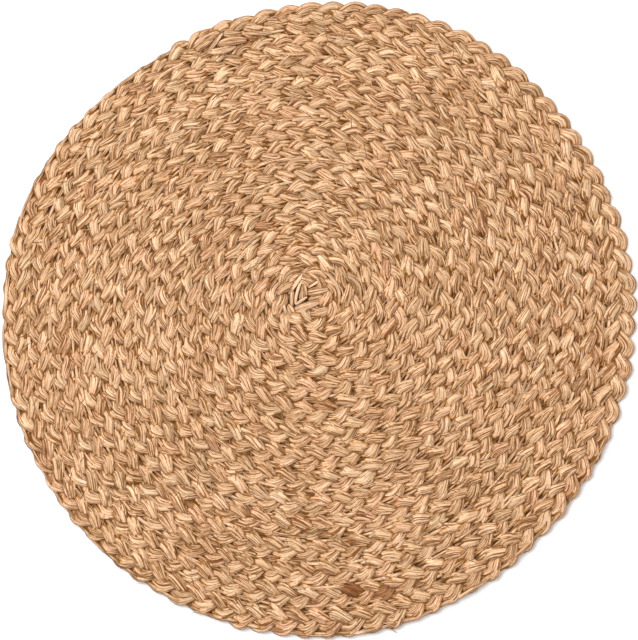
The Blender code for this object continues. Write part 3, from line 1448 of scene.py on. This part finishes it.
@dataclass
class SewingThread:
    """The thread that sews each row to the row inside it: short slanting stitches on both faces."""

    coil: Coil
    spacing: float = 0.0105
    half_length: float = 0.0042
    slant: float = 0.0028
    breadth: float = 0.00042
    steps: int = 6
    end_gap: float = 0.05
    seed: int = 11

    def build(self, around: bpy.types.Object, finish: bpy.types.Material) -> bpy.types.Object:
        """Sews the rows.

        Args:
            around: The joined strands.
            finish: The thread's material.

        Returns:
            The piece.
        """
        random = np.random.default_rng(self.seed)
        fine, length = self.coil.lengths(1.0, self.coil.rows - self.end_gap, -1.0)
        count = int(length[-1] / self.spacing)
        spots = (np.arange(count) + random.uniform(-0.3, 0.3, count)) * self.spacing
        turns = np.interp(spots, length, fine)
        share = np.linspace(-1.0, 1.0, self.steps)
        half = self.half_length * random.uniform(0.7, 1.25, (count, 1))
        inner, _ = self.coil.edges(turns)
        angle = np.radians(self.coil.end_bearing + 360.0 * turns)
        lean = self.slant * random.uniform(0.4, 1.5, (count, 1))
        distance = inner[:, None] + half * share
        along = lean * share
        x = self.coil.start[0] + distance * np.cos(angle)[:, None] - along * np.sin(angle)[:, None]
        y = self.coil.start[1] + distance * np.sin(angle)[:, None] + along * np.cos(angle)[:, None]
        z = np.full_like(x, self.coil.middle_height)
        top = np.stack([x, y, z], axis=2)
        lines = np.concatenate([top, top + np.array([0.002, -0.002, 0.0])])
        shape = lines.shape[:2]
        face = np.concatenate([np.ones_like(x), -np.ones_like(x)])
        ends = np.tile(1.0 - np.abs(share) ** 6, (shape[0], 1))
        columns = {
            "face": face,
            "lift": self.breadth * (0.5 * ends - 1.6 * (1.0 - ends)),
            "breadth": np.full(shape, self.breadth),
            "tint": np.repeat(random.uniform(0.0, 1.0, (shape[0], 1)), self.steps, axis=1),
        }
        laid = LaidLines("sewing_stitches", sides=4, blur=1)
        return laid.build("sewing_thread", lines, columns, around, finish)


@dataclass
class StrayFibres:
    """Fine split fibres that lie loose on the lobes, on both faces and past the rim here and there."""

    coil: Coil
    count: int = 1200
    under_count: int = 300
    breadth: float = 0.00034
    half_lengths: tuple[float, float] = (0.0022, 0.0055)
    lean: float = 22.0
    lean_spread: float = 12.0
    steps: int = 7
    seed: int = 23

    def build(self, around: bpy.types.Object, finish: bpy.types.Material) -> bpy.types.Object:
        """Scatters the fibres.

        Args:
            around: The joined strands.
            finish: The fibres' material.

        Returns:
            The piece.
        """
        random = np.random.default_rng(self.seed)
        number = self.count + self.under_count
        turns = np.sqrt(random.uniform(0.0, 1.0, number)) * (self.coil.rows - 0.1)
        across = random.uniform(-0.95, 0.95, number)
        x, y = self.coil.point(turns, across)
        bearing = np.radians(self.coil.end_bearing + 360.0 * turns) + math.pi / 2.0
        lean = np.radians(random.normal(self.lean, self.lean_spread, number))
        heading = bearing + lean * np.where(across > 0.0, 1.0, -1.0)
        half = random.uniform(*self.half_lengths, (number, 1))
        bow = random.normal(0.0, 0.12, (number, 1)) * half
        share = np.linspace(-1.0, 1.0, self.steps)
        ahead = half * share
        aside = bow * (1.0 - share**2)
        cos, sin = np.cos(heading)[:, None], np.sin(heading)[:, None]
        lines = np.stack(
            [
                x[:, None] + ahead * cos - aside * sin,
                y[:, None] + ahead * sin + aside * cos,
                np.full((number, self.steps), self.coil.middle_height),
            ],
            axis=2,
        )
        face = np.where(np.arange(number) < self.count, 1.0, -1.0)[:, None] * np.ones(self.steps)
        tips = random.uniform(-0.4, 1.0, (number, 1)) * np.abs(share) ** 3
        slim = 1.0 - 0.6 * np.abs(share) ** 3
        columns = {
            "face": face,
            "lift": self.breadth * (0.3 + 1.6 * tips),
            "breadth": self.breadth * random.uniform(0.6, 1.35, (number, 1)) * slim,
            "tint": np.repeat(random.uniform(0.0, 1.0, (number, 1)), self.steps, axis=1),
        }
        laid = LaidLines("laid_fibres", sides=3, blur=2)
        return laid.build("stray_fibres", lines, columns, around, finish)


@dataclass
class GapShadeDisc:
    """Painted shade: a thin dark disc between the mat's two faces that fills the gaps between strands with
    dark.
    """

    coil: Coil
    thickness: float = 0.0004
    sunk: float = 0.0009
    set_back: float = 0.0035
    rings: tuple[float, ...] = (0.33, 0.66, 1.0)
    flat: tuple[float, float] = (0.383, 0.384)
    steps: int = 120

    def build(self, finish: bpy.types.Material) -> bpy.types.Object:
        """Makes the disc, closed, with its rim a little inside the plait's.

        Args:
            finish: Its material.

        Returns:
            The piece.
        """
        turns = self.coil.rows - 1.0 + (np.arange(self.steps) + 0.5) / self.steps
        bearing = self.coil.end_bearing + 360.0 * turns
        reach = self.coil.read(bearing, "reach") - self.set_back
        angle = np.radians(bearing)
        top = self.coil.middle_height - self.sunk + self.thickness / 2.0
        under = top - self.thickness
        rings = [(share, top) for share in self.rings] + [(share, under) for share in reversed(self.rings)]
        start_x, start_y = self.coil.start
        points = [(start_x, start_y, top)]
        for share, height in rings:
            x = start_x + reach * share * np.cos(angle)
            y = start_y + reach * share * np.sin(angle)
            points += zip(x.tolist(), y.tolist(), [height] * self.steps)
        points.append((start_x, start_y, under))
        here = range(self.steps)
        after = [(step + 1) % self.steps for step in here]
        faces = [(0, 1 + a, 1 + b) for a, b in zip(here, after)]
        for ring in range(len(rings) - 1):
            low, high = 1 + ring * self.steps, 1 + (ring + 1) * self.steps
            faces += [(low + a, high + a, high + b, low + b) for a, b in zip(here, after)]
        last, end = 1 + (len(rings) - 1) * self.steps, len(points) - 1
        faces += [(end, last + b, last + a) for a, b in zip(here, after)]
        mesh = bpy.data.meshes.new("plait_heart")
        mesh.from_pydata(points, [], faces)
        mesh.materials.append(finish)
        return placed("plait_heart", mesh)

    def flat_area(self) -> float:
        """Works out the area of the mat as cut.

        Returns:
            The area inside the rim in square metres.
        """
        bearing = np.arange(720) / 2.0
        reach = self.coil.read(bearing, "reach")
        return float(np.sum(reach**2) / 2.0 * math.radians(0.5))


@dataclass(frozen=True)
class Lamp:
    """A square soft light: its name, where it hangs, its side and its watts."""

    name: str
    spot: tuple[float, float, float]
    side: float
    watts: float


@dataclass
class Studio:
    """A pale floor, soft light and the camera straight above."""

    view_width: float = 0.3834
    camera_height: float = 1.6
    sensor_width: float = 36.0
    floor_side: float = 6.0
    sky: float = 0.58
    lamps: tuple[Lamp, ...] = (
        Lamp("key_light", (-0.95, 0.75, 1.8), 1.3, 48.0),
        Lamp("fill_light", (1.4, -0.9, 1.6), 1.4, 7.0),
    )

    def floor(self) -> bpy.types.Object:
        """Makes the pale floor and returns it."""
        half = self.floor_side / 2.0
        mesh = bpy.data.meshes.new("pale_floor")
        corners = [(-half, -half, 0.0), (half, -half, 0.0), (half, half, 0.0), (-half, half, 0.0)]
        mesh.from_pydata(corners, [], [(0, 1, 2, 3)])
        mesh.materials.append(FloorFinish().material())
        return placed("pale_floor", mesh)

    def light(self, lamp: Lamp) -> None:
        """Hangs one light so that it faces the mat.

        Args:
            lamp: The light.
        """
        area = bpy.data.lights.new(lamp.name, "AREA")
        area.size = lamp.side
        area.energy = lamp.watts
        x, y, z = lamp.spot
        holder = bpy.data.objects.new(lamp.name, area)
        holder.location = lamp.spot
        holder.rotation_euler = (0.0, math.atan2(math.hypot(x, y), z), math.atan2(y, x))
        bpy.context.scene.collection.objects.link(holder)

    def build(self) -> bpy.types.Object:
        """Sets up the whole studio.

        Returns:
            The floor.
        """
        scene = bpy.context.scene
        world = bpy.data.worlds.new("studio")
        world.use_nodes = True
        background = world.node_tree.nodes["Background"]
        background.inputs["Color"].default_value = (1.0, 1.0, 1.0, 1.0)
        background.inputs["Strength"].default_value = self.sky
        scene.world = world
        scene.view_settings.view_transform = "Standard"
        for lamp in self.lamps:
            self.light(lamp)
        lens = bpy.data.cameras.new("camera")
        lens.sensor_width = self.sensor_width
        lens.sensor_fit = "HORIZONTAL"
        lens.lens = lens.sensor_width * self.camera_height / self.view_width
        camera = bpy.data.objects.new("camera", lens)
        camera.location = (0.0, 0.0, self.camera_height)
        scene.collection.objects.link(camera)
        scene.camera = camera
        return self.floor()


def main() -> None:
    """Builds the placemat in order and reports each piece."""
    logging.basicConfig(level=logging.INFO, format="%(message)s")
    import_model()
    coil = Coil()
    grass = GrassFinish().material()
    gap_shade_finish = GapShadeFinish().material()
    thread = THREAD_FINISH.material()
    fibre = FIBRE_FINISH.material()
    Studio().build()
    strands = PlaitedStrands(coil).build(grass)
    loose = LooseStems()
    slim = LooseStems(bends_between=2, section_points=6, flatness=1.5, taper=0.6, fold_depth=0.0)
    edge = EdgeStems(coil)
    stems = [
        loose.build("start_knot_stems", START_KNOT, grass),
        loose.build("under_knot_stems", turned_over(START_KNOT), grass),
        loose.build("tail_end_stems", TAIL_END, grass),
        loose.build("rim_tuft_stems", RIM_TUFT, grass),
        slim.build("seam_stems", edge.seams(), grass),
        slim.build("rim_stems", edge.rim(), grass),
    ]
    around = joined([*strands, *stems])
    # Painted shade: each grass piece is darkened where strands meet, from how much sky each point sees.
    grasses = PaintedCreviceShade().shade([*strands, *stems], around)
    stain(grasses[: len(strands)], STAINS)
    lines = [SewingThread(coil).build(around, thread), StrayFibres(coil).build(around, fibre)]
    bpy.data.objects.remove(around)
    # Painted shade: a dark disc inside the mat, seen only through the gaps between strands.
    gap_shade = GapShadeDisc(coil)
    ground = gap_shade.build(gap_shade_finish)
    pieces = [*grasses, *lines, ground]
    total = 0
    for piece in pieces:
        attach(piece, BODY)
        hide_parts(NODE)
        triangles = sum(len(face.vertices) - 2 for face in piece.data.polygons)
        total += triangles
        LOG.info("%s: %d triangles", piece.name, triangles)
    LOG.info("all pieces: %d triangles", total)
    gap_shade.flat_area()


if __name__ == "__main__":
    main()
